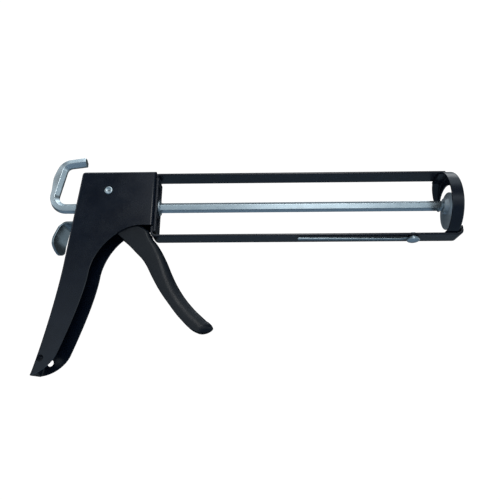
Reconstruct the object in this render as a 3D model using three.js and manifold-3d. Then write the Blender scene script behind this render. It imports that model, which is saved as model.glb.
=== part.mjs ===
// Skeleton-frame caulking gun with a hex plunger rod, a pressed housing and a channel trigger.
// Millimetres, +X towards the nozzle end, +Z up, the two sides face -Y and +Y.
// Every shape is drawn with X = 0 at the front of the frame's rear plate and Z = 0 on the rod.
// The finished group is then moved so that its origin is the middle of its bounding box.
import * as THREE from 'three';
import { mergeVertices } from 'three/addons/utils/BufferGeometryUtils.js';
import Module from 'manifold-3d';

const wasm = await Module();
wasm.setup();

// ---- driving dimensions ----
const GAP = 0.3; // between resting neighbours
const FRONT = 244.3; // front face of the collar
const STRAP_WIDTH = 16.6;
const STRAP_THICK = 1.9;
const TOP_STRAP_END = 240;
const BOTTOM_STRAP_END = 248;
const TAB_HEIGHT = 20.2; // the top strap's rear tab ends this far above the rod
const STRAP_OUTER = 28.3; // height of the straps' outer faces above and below the rod
const STRAP_INNER = STRAP_OUTER - STRAP_THICK;
const REAR_PLATE_THICK = 2;
const REAR_BEND = 3.4; // centre-line radius where a strap turns behind the rear plate
const FRONT_BEND = 3; // centre-line radius where the bottom strap turns up at the front

const SHEET = 1.2; // housing sheet
const HOUSING_WIDTH = 19.2;
const HOUSING_INSIDE = HOUSING_WIDTH - 2 * SHEET;
const HOUSING_FRONT = -REAR_PLATE_THICK - GAP;
const HOUSING_TOP = 30.1;
const HOUSING_TOP_REAR = -65;
const HOUSING_BOTTOM = -18.4;
const NEAR_SHIFT = -1.9; // the handle's two open edges stand off its middle curve by these
const FAR_SHIFT = 1.8;
const HANG_HOLE_RADIUS = 2.6;
const FLANGE_REACH = 5.6; // the housing's front flanges stop this far from the middle

const ROD_FLATS = 7.5; // across the hexagon's flats
const ROD_CORNER = ROD_FLATS / Math.sqrt(3);
const ROD_TURN = 15; // degrees that the hexagon's corners are turned from straight up and down
const ROD_HOLE = ROD_CORNER + 0.5;
const ROD_END = 236.3; // front end of the full hexagon
const LIMB_LOW = 12.7; // the hook's upright limb bulges by LIMB_BULGE between these heights
const LIMB_HIGH = 42;
const LIMB_BULGE = 2.5;
const NECK_RADIUS = 2.6;
const BUSHING_BODY = 5.6;

const PIVOT = new THREE.Vector2(-40.9, 12.1); // trigger rivet, in X and Z
const PIVOT_RADIUS = 2.4;
const TRIGGER_HALF = 7.75;
const TRIGGER_SHEET = 1.5;
const NOSE = new THREE.Vector2(PIVOT.x + 4.8, PIVOT.y + 12); // the ears' noses push the drive plates
const NOSE_RADIUS = 3;

const DRIVE_FACE = NOSE.x + NOSE_RADIUS + GAP;
const DRIVE_PLATE = 2;
const BRACKET_FACE = -51; // front of the release bracket's upright
const LEVER_TOP = new THREE.Vector2(-56.5, 16.6); // the release lever turns about its top edge
const LEVER_HALF = 7.5;
const THUMB_HALF = 10.2; // its thumb tab is wider than the slot that it leaves by

const PISTON_RADIUS = 15.6;
const PISTON_DROP = 4.6; // the disc's middle is this far below its hole
const HUB_RADIUS = 7.5; // the disc's dished middle
const HUB_AT = 237.8;
const DISH = 3.2; // the flat rim stands this far in front of the hub
const PISTON_HALF_THICK = 0.6;

const COLLAR_LENGTH = 9.8;
const COLLAR_RADIUS = 27.9;
const COLLAR_SHEET = 1.5;
const LIP_THICK = 1.4;
const NOZZLE_RADIUS = 21.3;
const NOZZLE_CENTRE = new THREE.Vector2(6.1, -1.8); // in Y and Z, off towards the open side

const WIRE_PIVOT = new THREE.Vector2(208.6, -3); // in X and Y
const WIRE_RADIUS = 1.3;
const WIRE_LENGTH = 94;
const WIRE_SWING = 1.5; // degrees that the stowed wire stands off the strap's line
const RIVET_SHANK = 2;
const EYE_TOP = -STRAP_OUTER - 0.4;
const EYE_THICK = 1.6;

// ---- finishes ----
const PAINT = { color: 0x12161c, roughness: 0.42, metalness: 0.0 };
const ZINC = { color: 0x9fb0b8, roughness: 0.32, metalness: 1.0 };
const SPRING_STEEL = { color: 0x8c9298, roughness: 0.35, metalness: 1.0 };

const gun = new THREE.Group();
const ON_ROD = new THREE.Vector2(0, 0);

// ---- solids ----
function toManifold(geometry) {
  const bare = geometry.clone();
  bare.deleteAttribute('normal');
  bare.deleteAttribute('uv');
  const merged = mergeVertices(bare, 1e-4);
  const vertProperties = new Float32Array(merged.attributes.position.array);
  const triVerts = new Uint32Array(merged.index.array);
  return new wasm.Manifold(new wasm.Mesh({ numProp: 3, vertProperties, triVerts }));
}

function toGeometry(solid) {
  const mesh = solid.getMesh();
  const geometry = new THREE.BufferGeometry();
  geometry.setAttribute('position', new THREE.BufferAttribute(new Float32Array(mesh.vertProperties), 3));
  geometry.setIndex(new THREE.BufferAttribute(new Uint32Array(mesh.triVerts), 1));
  geometry.computeVertexNormals();
  return geometry;
}

function addNode(name, solid, finish) {
  const mesh = new THREE.Mesh(toGeometry(solid), new THREE.MeshStandardMaterial(finish));
  mesh.name = name;
  gun.add(mesh);
}

function extrude(shape, depth, curveSegments = 10) {
  return new THREE.ExtrudeGeometry(shape, { depth, bevelEnabled: false, curveSegments, steps: 1 });
}

// An outline drawn in X and Z, given a width along Y from yLow to yHigh.
function sidePlate(shape, yLow, yHigh, curveSegments) {
  const geometry = extrude(shape, yHigh - yLow, curveSegments);
  geometry.rotateX(Math.PI / 2);
  geometry.translate(0, yHigh, 0);
  return toManifold(geometry);
}

// An outline drawn in Y and Z, given a thickness along X from xLow to xHigh.
function facePlate(shape, xLow, xHigh, curveSegments) {
  const geometry = extrude(shape, xHigh - xLow, curveSegments);
  const axes = new THREE.Matrix4().makeBasis(
    new THREE.Vector3(0, 1, 0), new THREE.Vector3(0, 0, 1), new THREE.Vector3(1, 0, 0));
  geometry.applyMatrix4(axes);
  geometry.translate(xLow, 0, 0);
  return toManifold(geometry);
}

function box(low, high) {
  const size = high.map((value, i) => value - low[i]);
  const geometry = new THREE.BoxGeometry(...size);
  geometry.translate(...low.map((value, i) => value + size[i] / 2));
  return toManifold(geometry);
}

// Turns a geometry made along Y to lie along 'x', 'y' or 'z'; centre holds its two other coordinates.
function alongAxis(geometry, axis, centre) {
  if (axis === 'x') {
    geometry.rotateZ(-Math.PI / 2);
    geometry.translate(0, centre.x, centre.y);
  } else if (axis === 'z') {
    geometry.rotateX(Math.PI / 2);
    geometry.translate(centre.x, centre.y, 0);
  } else {
    geometry.translate(centre.x, 0, centre.y);
  }
  return toManifold(geometry);
}

function cylinder(axis, centre, radius, low, high, sides = 32) {
  const geometry = new THREE.CylinderGeometry(radius, radius, high - low, sides);
  geometry.translate(0, (low + high) / 2, 0);
  return alongAxis(geometry, axis, centre);
}

// A turned piece whose profile lists (radius, distance along the axis) pairs.
function turned(profile, axis, centre, sides = 32) {
  const geometry = new THREE.LatheGeometry(profile.map(([r, h]) => new THREE.Vector2(r, h)), sides);
  return alongAxis(geometry, axis, centre);
}

// A closed body through equal rings of points, capped flat at both ends.
function loft(rings, capFaces) {
  const count = rings[0].length;
  const positions = rings.flat().flatMap((p) => [p.x, p.y, p.z]);
  const index = [];
  for (let r = 0; r + 1 < rings.length; r += 1) {
    for (let i = 0; i < count; i += 1) {
      const a = r * count + i;
      const b = r * count + ((i + 1) % count);
      index.push(a, b + count, b, a, a + count, b + count);
    }
  }
  const last = (rings.length - 1) * count;
  for (const [a, b, c] of capFaces) {
    index.push(a, b, c, last + a, last + c, last + b);
  }
  const geometry = new THREE.BufferGeometry();
  geometry.setAttribute('position', new THREE.BufferAttribute(new Float32Array(positions), 3));
  geometry.setIndex(index);
  return toManifold(geometry);
}

function fan(count) {
  return Array.from({ length: count - 2 }, (_, i) => [0, i + 1, i + 2]);
}

// Caps a ring whose second half runs back beside its first half.
function ribbon(count) {
  const faces = [];
  for (let i = 0; i + 1 < count / 2; i += 1) {
    faces.push([i, i + 1, count - 2 - i], [i, count - 2 - i, count - 1 - i]);
  }
  return faces;
}

// ---- bent centre lines, in X and Z ----
// Starts at a point with a heading in degrees and follows straight runs and turns.
// A turn is positive to the left. Returns points with their headings.
function bentLine(start, headingDegrees, moves) {
  const point = start.clone();
  let heading = THREE.MathUtils.degToRad(headingDegrees);
  const line = [{ point: point.clone(), heading }];
  for (const move of moves) {
    if (move.run) {
      point.add(new THREE.Vector2(Math.cos(heading), Math.sin(heading)).multiplyScalar(move.run));
      line.push({ point: point.clone(), heading });
    } else {
      const steps = Math.ceil(Math.abs(move.turn) / 12);
      const step = THREE.MathUtils.degToRad(move.turn) / steps;
      const chord = 2 * move.radius * Math.sin(Math.abs(step) / 2);
      for (let i = 0; i < steps; i += 1) {
        const along = heading + step / 2;
        point.add(new THREE.Vector2(Math.cos(along), Math.sin(along)).multiplyScalar(chord));
        heading += step;
        line.push({ point: point.clone(), heading });
      }
    }
  }
  return line;
}

function offsetLine(line, distance) {
  return line.map(({ point, heading }) => new THREE.Vector2(
    point.x - Math.sin(heading) * distance, point.y + Math.cos(heading) * distance));
}

// A strip of sheet that follows a bent centre line, with a width along Y.
function bentStrip(line, thick, halfWidth) {
  const outline = [...offsetLine(line, thick / 2), ...offsetLine(line, -thick / 2).reverse()];
  return sidePlate(new THREE.Shape(outline), -halfWidth, halfWidth);
}

// ---- housing and handle ----
// The folded edge of the side plates: along the top, then down the spine to the heel.
function foldedEdge(inset) {
  const shape = new THREE.Shape();
  shape.moveTo(HOUSING_FRONT, HOUSING_TOP - inset);
  shape.lineTo(HOUSING_TOP_REAR + inset, HOUSING_TOP - inset);
  shape.lineTo(-71.7 + inset, -49.5);
  shape.bezierCurveTo(-73.8 + inset, -76, -81 + inset, -116, -86.5 + inset, -136.9);
  return shape;
}

// The handle's front edge is drawn once and shifted a little for each side plate.
function housingOutline(shift) {
  const shape = foldedEdge(0);
  shape.bezierCurveTo(-78 + shift, -136, -69 + shift, -129, -66 + shift, -121);
  shape.bezierCurveTo(-60 + shift, -104, -50.3 + shift, -76, -48.8 + shift, -56);
  shape.bezierCurveTo(-46 + shift, -38, -30, -18.6, -12, HOUSING_BOTTOM);
  shape.lineTo(HOUSING_FRONT, HOUSING_BOTTOM);
  shape.closePath();
  return shape;
}

// Everything in front of the folded edge, which leaves the front and the lower end open.
function hollowOutline() {
  const shape = foldedEdge(SHEET);
  shape.lineTo(-86.5 + SHEET, -160);
  shape.lineTo(HOUSING_FRONT, -160);
  shape.closePath();
  return shape;
}

function housing() {
  const half = HOUSING_WIDTH / 2;
  const inside = HOUSING_INSIDE / 2;
  let solid = sidePlate(housingOutline(NEAR_SHIFT), -half, 0, 12)
    .add(sidePlate(housingOutline(FAR_SHIFT), 0, half, 12));
  const flangeBack = HOUSING_FRONT - SHEET;
  const hollow = sidePlate(hollowOutline(), -inside, inside, 12)
    .subtract(box([flangeBack, -half, HOUSING_BOTTOM], [60, half, HOUSING_TOP + 1]));
  const throat = box([flangeBack - 1, -FLANGE_REACH, -60], [60, FLANGE_REACH, HOUSING_TOP - SHEET]);
  solid = solid.subtract(hollow).subtract(throat);
  solid = solid.subtract(cylinder('y', PIVOT, PIVOT_RADIUS + GAP, -20, 20));
  solid = solid.subtract(cylinder('y', new THREE.Vector2(-79.8, -124.5), HANG_HOLE_RADIUS, -20, 0, 24));
  solid = solid.subtract(cylinder('y', new THREE.Vector2(-79.3, -126.7), HANG_HOLE_RADIUS, 0, 20, 24));
  const rodSlot = box([-70, -ROD_HOLE, -ROD_HOLE - 0.5], [-55, ROD_HOLE, ROD_HOLE + 1]);
  const leverSlot = box([-74, -7.9, -19.2], [-60, 7.9, -13]);
  return solid.subtract(rodSlot).subtract(leverSlot);
}

// ---- skeleton frame ----
function rearPlate() {
  const halfWidth = STRAP_WIDTH / 2;
  const halfHeight = 24; // clears the inside of the straps' bends
  const holeRadius = 3.9;
  let solid = box([-REAR_PLATE_THICK, -halfWidth, -halfHeight], [0, halfWidth, halfHeight]);
  for (const z of [15.5, -12.6]) {
    solid = solid.subtract(cylinder('x', new THREE.Vector2(0, z), holeRadius, -5, 5));
  }
  return solid.subtract(cylinder('x', ON_ROD, BUSHING_BODY + GAP, -5, 5));
}

function rodBushing() {
  const bore = ROD_HOLE;
  const profile = [
    [bore, -4.2], [BUSHING_BODY, -4.2], [BUSHING_BODY, GAP], [6.6, GAP],
    [6.6, 1.1], [6.1, 1.6], [bore, 1.6], [bore, -4.2],
  ];
  return turned(profile, 'x', ON_ROD);
}

// Both straps turn behind the rear plate. The part behind it is necked to pass the housing.
function neckStrap(strap, zLow, zHigh) {
  const half = STRAP_WIDTH / 2 + 1;
  for (const side of [-1, 1]) {
    const ys = [side * (FLANGE_REACH - GAP), side * half].sort((a, b) => a - b);
    strap = strap.subtract(box([-10, ys[0], zLow], [HOUSING_FRONT + GAP + 0.4, ys[1], zHigh]));
  }
  return strap;
}

function topStrap() {
  const middle = STRAP_OUTER - STRAP_THICK / 2;
  const back = -REAR_PLATE_THICK - GAP - STRAP_THICK / 2;
  const line = bentLine(new THREE.Vector2(back, TAB_HEIGHT), 90, [
    { run: middle - REAR_BEND - TAB_HEIGHT }, { turn: -90, radius: REAR_BEND },
    { run: TOP_STRAP_END - back - REAR_BEND },
  ]);
  const strap = bentStrip(line, STRAP_THICK, STRAP_WIDTH / 2);
  return neckStrap(strap, 15, 40);
}

function bottomStrap() {
  const middle = -STRAP_OUTER + STRAP_THICK / 2;
  const back = -REAR_PLATE_THICK - GAP - STRAP_THICK / 2;
  const front = BOTTOM_STRAP_END - STRAP_THICK / 2;
  const tabTop = HOUSING_BOTTOM - 0.6;
  const line = bentLine(new THREE.Vector2(back, tabTop), -90, [
    { run: tabTop - middle - REAR_BEND }, { turn: 90, radius: REAR_BEND },
    { run: front - back - REAR_BEND - FRONT_BEND }, { turn: 90, radius: FRONT_BEND },
    { run: -20.5 - middle - FRONT_BEND },
  ]);
  const strap = bentStrip(line, STRAP_THICK, STRAP_WIDTH / 2);
  return strap.subtract(cylinder('z', WIRE_PIVOT, RIVET_SHANK + GAP, -40, -20, 24));
}

// A circle whose top and bottom are flattened where it sits between the straps.
function collarOutline(radius, flat) {
  const angle = Math.asin(flat / radius);
  const shape = new THREE.Shape();
  shape.absarc(0, 0, radius, -angle, angle, false);
  shape.absarc(0, 0, radius, Math.PI - angle, Math.PI + angle, false);
  shape.closePath();
  return shape;
}

function frontCollar() {
  const flat = STRAP_INNER - GAP;
  const outer = collarOutline(COLLAR_RADIUS, flat);
  const inner = collarOutline(COLLAR_RADIUS - COLLAR_SHEET, flat - COLLAR_SHEET);
  const rear = FRONT - COLLAR_LENGTH;
  let solid = facePlate(outer, rear, FRONT, 20);
  solid = solid.subtract(facePlate(inner, rear - 1, FRONT - LIP_THICK, 20));
  solid = solid.subtract(cylinder('x', NOZZLE_CENTRE, NOZZLE_RADIUS, rear, FRONT + 1, 64));
  // The far side stays open, and the band narrows towards the two ends of the C.
  const mouth = new THREE.Shape();
  mouth.moveTo(rear - 2, 26.6);
  mouth.lineTo(rear + 0.5, 26.6);
  mouth.lineTo(FRONT - 1.2, 5.8);
  mouth.lineTo(FRONT + 2, 4.8);
  mouth.lineTo(FRONT + 2, -16);
  mouth.lineTo(FRONT - 3, -17);
  mouth.lineTo(rear + 1.5, -25);
  mouth.lineTo(rear - 2, -25);
  mouth.closePath();
  return solid.subtract(sidePlate(mouth, 9.3, 40));
}

// ---- plunger ----
// The hook's limb was flattened when it was bent, and stands out on its outer side.
function limbBulge(point) {
  const t = (point.y - LIMB_LOW) / (LIMB_HIGH - LIMB_LOW);
  return point.x < -70 && t > 0 && t < 1 ? LIMB_BULGE * Math.sin(Math.PI * t) ** 2 : 0;
}

function hexRing(point, heading) {
  const bulge = limbBulge(point);
  return Array.from({ length: 6 }, (_, i) => {
    const angle = (i / 6) * 2 * Math.PI + THREE.MathUtils.degToRad(ROD_TURN);
    const lift = ROD_CORNER * Math.cos(angle) + bulge * Math.max(0, Math.cos(angle));
    const side = ROD_CORNER * Math.sin(angle);
    return new THREE.Vector3(point.x - Math.sin(heading) * lift, side, point.y + Math.cos(heading) * lift);
  });
}

function plungerRod() {
  const line = bentLine(new THREE.Vector2(ROD_END, 0), 180, [
    { run: ROD_END + 79 }, { turn: -100, radius: 10.8 },
    { run: 4.6 }, { run: 4.6 }, { run: 4.6 }, { run: 4.6 }, { run: 4.6 },
    { turn: -72, radius: 8 }, { run: 13.2 },
  ]);
  const rod = loft(line.map(({ point, heading }) => hexRing(point, heading)), fan(6));
  return rod.add(cylinder('x', ON_ROD, NECK_RADIUS, ROD_END - 1, HUB_AT + 2.5, 24));
}

// A flat rim round a dished hub, with the hole off the middle. The disc is loose on the rod's neck.
function pistonDisc() {
  const half = PISTON_HALF_THICK;
  const bore = NECK_RADIUS + 0.6;
  const step = HUB_RADIUS - 1.5;
  const reach = PISTON_RADIUS + PISTON_DROP + 1;
  const profile = [
    [bore, -half], [step, -half], [HUB_RADIUS, DISH - half], [reach, DISH - half], [reach, DISH + half],
    [HUB_RADIUS, DISH + half], [step, half], [bore, half], [bore, -half],
  ];
  const outline = cylinder('x', new THREE.Vector2(0, -PISTON_DROP), PISTON_RADIUS, -5, 10, 64);
  return turned(profile, 'x', ON_ROD, 48)
    .intersect(outline)
    .translate([HUB_AT, 0, 0]);
}

// The peened end that keeps the disc on the rod's neck, drawn round the neck with a running gap.
function pistonKeeper() {
  const bore = NECK_RADIUS + GAP;
  const rear = HUB_AT + 1.5;
  const front = rear + 1.5;
  return turned([
    [bore, rear], [4.4, rear], [4.4, rear + 0.8], [3.6, front], [bore, front], [bore, rear],
  ], 'x', ON_ROD);
}

// ---- trigger ----
// The channel's web follows FACE and its open edges follow RIM, from the housing to the tip.
const FACE = new THREE.SplineCurve([
  [-14, -17.2], [-6.4, -22.3], [-2.9, -28.5], [2.6, -35.5], [8.7, -46.5], [13.2, -56.5], [18.2, -66.5],
  [25, -77], [33, -86.5], [41, -94], [46, -98.6],
].map(([x, z]) => new THREE.Vector2(x, z)));
const RIM = new THREE.SplineCurve([
  [-31, -25.5], [-24.8, -30.8], [-18.6, -37], [-12.3, -43.5], [-6.2, -51.5], [-0.5, -62], [5.7, -72.5],
  [13.1, -82.7], [22.2, -94], [31.8, -102.6], [41.5, -106],
].map(([x, z]) => new THREE.Vector2(x, z)));

const smooth = (t) => t * t * (3 - 2 * t);

// One U-shaped section, as (depth, side) pairs: out along one wall, over the web and back inside.
function channelSection(depth, half, roundSide, roundDepth, sheet) {
  const arcSteps = 5;
  const outer = [[depth, -half]];
  const inner = [[depth, -half + sheet]];
  for (let i = 0; i <= 2 * arcSteps + 1; i += 1) {
    const side = i <= arcSteps ? -1 : 1;
    const step = i <= arcSteps ? i / arcSteps : (2 * arcSteps + 1 - i) / arcSteps;
    const angle = (step * Math.PI) / 2;
    const along = roundDepth * (1 - Math.sin(angle));
    const across = half - roundSide * (1 - Math.cos(angle));
    outer.push([along, side * across]);
    const innerSide = Math.max(roundSide - sheet, 0.2);
    const innerDepth = Math.max(roundDepth - sheet, 0.2);
    inner.push([
      sheet + innerDepth * (1 - Math.sin(angle)), side * (half - sheet - innerSide * (1 - Math.cos(angle))),
    ]);
  }
  outer.push([depth, half]);
  inner.push([depth, half - sheet]);
  return [...outer, ...inner.reverse()];
}

function triggerChannel() {
  const stations = 26;
  const rings = [];
  for (let s = 0; s <= stations; s += 1) {
    const t = s / stations;
    const face = FACE.getPoint(t);
    const rim = RIM.getPoint(t);
    const inward = rim.clone().sub(face);
    const depth = inward.length();
    inward.normalize();
    const tip = Math.max(0, (t - 0.9) / 0.1);
    const half = TRIGGER_HALF * (1 - 0.5 * tip * tip);
    const arch = smooth(Math.min(1, t / 0.75));
    const roundSide = THREE.MathUtils.lerp(3, half - 0.3, arch);
    const roundDepth = THREE.MathUtils.lerp(3, 8.5, arch) * (1 - 0.4 * tip);
    rings.push(channelSection(depth, half, roundSide, roundDepth, TRIGGER_SHEET)
      .map(([u, y]) => new THREE.Vector3(face.x + inward.x * u, y, face.y + inward.y * u)));
  }
  return loft(rings, ribbon(rings[0].length));
}

// The tip is closed by a plug that fills the last stretch of the channel.
function triggerTip() {
  const t = 0.965;
  const face = FACE.getPoint(t);
  const rim = RIM.getPoint(t);
  const middle = face.clone().add(rim).multiplyScalar(0.5);
  const geometry = new THREE.SphereGeometry(1, 20, 14);
  geometry.scale(3.2, 5.4, 5.4);
  geometry.rotateY(THREE.MathUtils.degToRad(50));
  geometry.translate(middle.x, 0, middle.y);
  return toManifold(geometry);
}

function triggerEar() {
  const boss = 6.5;
  const shape = new THREE.Shape();
  shape.absarc(NOSE.x, NOSE.y, NOSE_RADIUS, 0, Math.PI, false);
  shape.absarc(PIVOT.x, PIVOT.y, boss, Math.PI * 0.95, Math.PI * 1.3, false);
  shape.bezierCurveTo(-42, -4, -39, -16, -30.3, -26);
  shape.lineTo(-17.2, -19.8);
  shape.bezierCurveTo(-26, -15.5, -33.6, -16.5, -33.6, -10.5);
  shape.lineTo(-33.6, NOSE.y - 4);
  shape.closePath();
  return shape;
}

function trigger() {
  let solid = triggerChannel();
  const ear = triggerEar();
  for (const side of [-1, 1]) {
    const ys = [side * (TRIGGER_HALF - TRIGGER_SHEET), side * TRIGGER_HALF].sort((a, b) => a - b);
    solid = solid.add(sidePlate(ear, ys[0], ys[1]));
  }
  solid = solid.add(triggerTip());
  return solid.subtract(cylinder('y', PIVOT, PIVOT_RADIUS + GAP, -20, 20));
}

function triggerRivet() {
  const face = HOUSING_WIDTH / 2 + GAP;
  const head = 3.4;
  const dish = 1.7;
  const profile = [
    [0, -face - 0.5], [dish, -face - 0.5], [dish + 0.4, -face - 1.1], [head - 0.5, -face - 1.1],
    [head, -face - 0.5], [head, -face], [PIVOT_RADIUS, -face],
    [PIVOT_RADIUS, face], [head, face], [head, face + 0.5], [head - 0.5, face + 1.1],
    [dish + 0.4, face + 1.1], [dish, face + 0.5], [0, face + 0.5],
  ];
  return turned(profile, 'y', PIVOT);
}

function triggerSpacer() {
  const reach = TRIGGER_HALF - TRIGGER_SHEET - GAP;
  const outer = 4;
  const bore = PIVOT_RADIUS + GAP;
  return turned([[bore, -reach], [outer, -reach], [outer, reach], [bore, reach], [bore, -reach]], 'y', PIVOT);
}

// ---- drive and release ----
function drivePlate(xLow) {
  const half = 7.4;
  const shape = new THREE.Shape();
  shape.moveTo(-half, -10);
  shape.lineTo(half, -10);
  shape.lineTo(half, 24);
  shape.lineTo(half - 2.5, 26.5);
  shape.lineTo(-half + 2.5, 26.5);
  shape.lineTo(-half, 24);
  shape.closePath();
  return facePlate(shape, xLow, xLow + DRIVE_PLATE)
    .subtract(cylinder('x', ON_ROD, ROD_HOLE, xLow - 1, xLow + 5, 24));
}

function coil(xLow, xHigh, radius, wire, turns) {
  const perTurn = 12;
  const sides = 6;
  const steps = Math.round(turns * perTurn);
  const rings = [];
  for (let s = 0; s <= steps; s += 1) {
    const angle = (s / perTurn) * 2 * Math.PI;
    const x = THREE.MathUtils.lerp(xLow + wire, xHigh - wire, s / steps);
    rings.push(Array.from({ length: sides }, (_, i) => {
      const around = (i / sides) * 2 * Math.PI;
      const out = radius + wire * Math.cos(around);
      return new THREE.Vector3(x + wire * Math.sin(around), -out * Math.sin(angle), out * Math.cos(angle));
    }));
  }
  return loft(rings, fan(sides));
}

// A bent bracket across the housing: its upright seats the release spring, its roof holds the lever.
function releaseBracket() {
  const half = HOUSING_INSIDE / 2 - GAP;
  const sheet = 1.5;
  const roof = 18.4;
  const line = bentLine(new THREE.Vector2(BRACKET_FACE - sheet / 2, -7), 90, [
    { run: roof + 7 - 2 }, { turn: 90, radius: 2 }, { run: 6 },
  ]);
  return bentStrip(line, sheet, half)
    .subtract(cylinder('x', ON_ROD, ROD_HOLE, -56, -48, 24));
}

// The brake plate grips the rod, leaves through the spine, then turns down and widens as the thumb tab.
function releaseLever() {
  const line = bentLine(LEVER_TOP, -95, [
    { run: 28.6 }, { turn: -85, radius: 3.5 }, { run: 11 },
    { turn: 68, radius: 4.5 }, { run: 9 }, { turn: 40, radius: 16 }, { run: 4 },
  ]);
  const end = line[line.length - 1].point;
  const paddle = new THREE.Shape();
  paddle.absarc(0, end.y + THUMB_HALF, THUMB_HALF, Math.PI, 2 * Math.PI, false);
  paddle.lineTo(THUMB_HALF, -19.5);
  paddle.lineTo(LEVER_HALF, -16.4);
  paddle.lineTo(LEVER_HALF, 30);
  paddle.lineTo(-LEVER_HALF, 30);
  paddle.lineTo(-LEVER_HALF, -16.4);
  paddle.lineTo(-THUMB_HALF, -19.5);
  paddle.closePath();
  return bentStrip(line, 1.7, THUMB_HALF)
    .intersect(facePlate(paddle, -100, -40, 12))
    .subtract(cylinder('x', ON_ROD, ROD_HOLE + 0.2, -62, -54, 24));
}

// ---- seal puncture wire ----
function punctureWire() {
  const rings = [];
  const axisZ = EYE_TOP - WIRE_RADIUS;
  const eyeRadius = 4.6;
  const stations = [
    [3.4, 0.9, EYE_THICK / 2], [6.5, 1.5, EYE_THICK / 2], [11, WIRE_RADIUS, WIRE_RADIUS],
    [WIRE_LENGTH - 0.9, WIRE_RADIUS, WIRE_RADIUS], [WIRE_LENGTH - 0.6, WIRE_RADIUS - 0.3, WIRE_RADIUS - 0.3],
  ];
  const sides = 12;
  for (const [reach, halfWidth, halfHeight] of stations) {
    const z = reach < 10 ? EYE_TOP - halfHeight : axisZ;
    rings.push(Array.from({ length: sides }, (_, i) => {
      const angle = (i / sides) * 2 * Math.PI;
      return new THREE.Vector3(-reach, halfWidth * Math.cos(angle), z + halfHeight * Math.sin(angle));
    }));
  }
  const shaft = loft(rings, fan(sides));
  const eye = cylinder('z', new THREE.Vector2(0, 0), eyeRadius, EYE_TOP - EYE_THICK, EYE_TOP);
  const bore = cylinder('z', new THREE.Vector2(0, 0), RIVET_SHANK + GAP, -40, -20, 24);
  return shaft.add(eye).subtract(bore)
    .rotate([0, 0, WIRE_SWING])
    .translate([WIRE_PIVOT.x, WIRE_PIVOT.y, 0]);
}

function punctureRivet() {
  const headTop = EYE_TOP - EYE_THICK - GAP;
  const peen = -STRAP_INNER + GAP;
  const profile = [
    [0, headTop - 2.2], [2.6, headTop - 2.1], [4.4, headTop - 1.5], [5.2, headTop - 0.6], [5.2, headTop],
    [RIVET_SHANK, headTop], [RIVET_SHANK, peen], [3.4, peen], [2.6, peen + 0.9], [0, peen + 1.2],
  ];
  return turned(profile, 'z', WIRE_PIVOT);
}

// ---- assembly ----
addNode('housing', housing(), PAINT);
addNode('frame_rear_plate', rearPlate(), PAINT);
addNode('top_strap', topStrap(), PAINT);
addNode('bottom_strap', bottomStrap(), PAINT);
addNode('front_collar', frontCollar(), PAINT);
addNode('rod_bushing', rodBushing(), ZINC);
addNode('plunger_rod', plungerRod(), ZINC);
addNode('piston_disc', pistonDisc(), ZINC);
addNode('piston_keeper', pistonKeeper(), ZINC);
addNode('trigger', trigger(), PAINT);
addNode('trigger_rivet', triggerRivet(), ZINC);
addNode('trigger_spacer', triggerSpacer(), ZINC);
addNode('drive_plate_rear', drivePlate(DRIVE_FACE), ZINC);
addNode('drive_plate_front', drivePlate(DRIVE_FACE + DRIVE_PLATE + GAP), ZINC);
addNode('drive_spring', coil(DRIVE_FACE + 2 * DRIVE_PLATE + 2 * GAP, -4.8, 6.4, 0.7, 6), SPRING_STEEL);
addNode('release_bracket', releaseBracket(), ZINC);
addNode('release_lever', releaseLever(), ZINC);
addNode('release_spring', coil(-56.2, BRACKET_FACE - 1.5 - GAP, 6.2, 0.5, 2.5), SPRING_STEEL);
addNode('puncture_wire', punctureWire(), ZINC);
addNode('puncture_rivet', punctureRivet(), ZINC);

const middle = new THREE.Box3().setFromObject(gun).getCenter(new THREE.Vector3());
gun.position.copy(middle.negate());

export default gun;
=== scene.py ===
"""Looks of the caulking gun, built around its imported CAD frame.

Shapes are drawn in the gun's own millimetres: X = 0 on the front face of the rear plate, Y = 0 and
Z = 0 on the plunger rod's axis, +X towards the nozzle end. at() turns them into the row frame.
"""
import math

import bmesh
import bpy
from mathutils import Matrix, Vector


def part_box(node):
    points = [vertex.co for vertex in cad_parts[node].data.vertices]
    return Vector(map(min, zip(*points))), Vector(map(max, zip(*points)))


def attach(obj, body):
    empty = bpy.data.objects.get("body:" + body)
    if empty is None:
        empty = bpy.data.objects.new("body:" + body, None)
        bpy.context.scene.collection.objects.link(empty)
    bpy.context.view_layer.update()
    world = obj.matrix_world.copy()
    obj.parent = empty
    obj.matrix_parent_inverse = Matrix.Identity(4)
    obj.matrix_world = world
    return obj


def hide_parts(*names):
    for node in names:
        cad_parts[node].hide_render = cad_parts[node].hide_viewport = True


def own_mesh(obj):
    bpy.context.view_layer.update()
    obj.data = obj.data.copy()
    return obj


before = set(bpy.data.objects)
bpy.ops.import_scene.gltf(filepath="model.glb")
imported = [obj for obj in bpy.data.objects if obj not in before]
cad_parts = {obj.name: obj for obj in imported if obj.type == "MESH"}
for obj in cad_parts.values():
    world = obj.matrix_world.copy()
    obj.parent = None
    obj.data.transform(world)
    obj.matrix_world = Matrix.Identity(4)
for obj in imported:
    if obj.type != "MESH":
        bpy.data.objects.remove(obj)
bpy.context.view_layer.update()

MM = 0.001
BUSHING_LOW, BUSHING_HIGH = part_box("rod_bushing")
ORIGIN = Vector((
    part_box("frame_rear_plate")[1].x,
    (BUSHING_LOW.y + BUSHING_HIGH.y) / 2,
    (BUSHING_LOW.z + BUSHING_HIGH.z) / 2,
))

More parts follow.
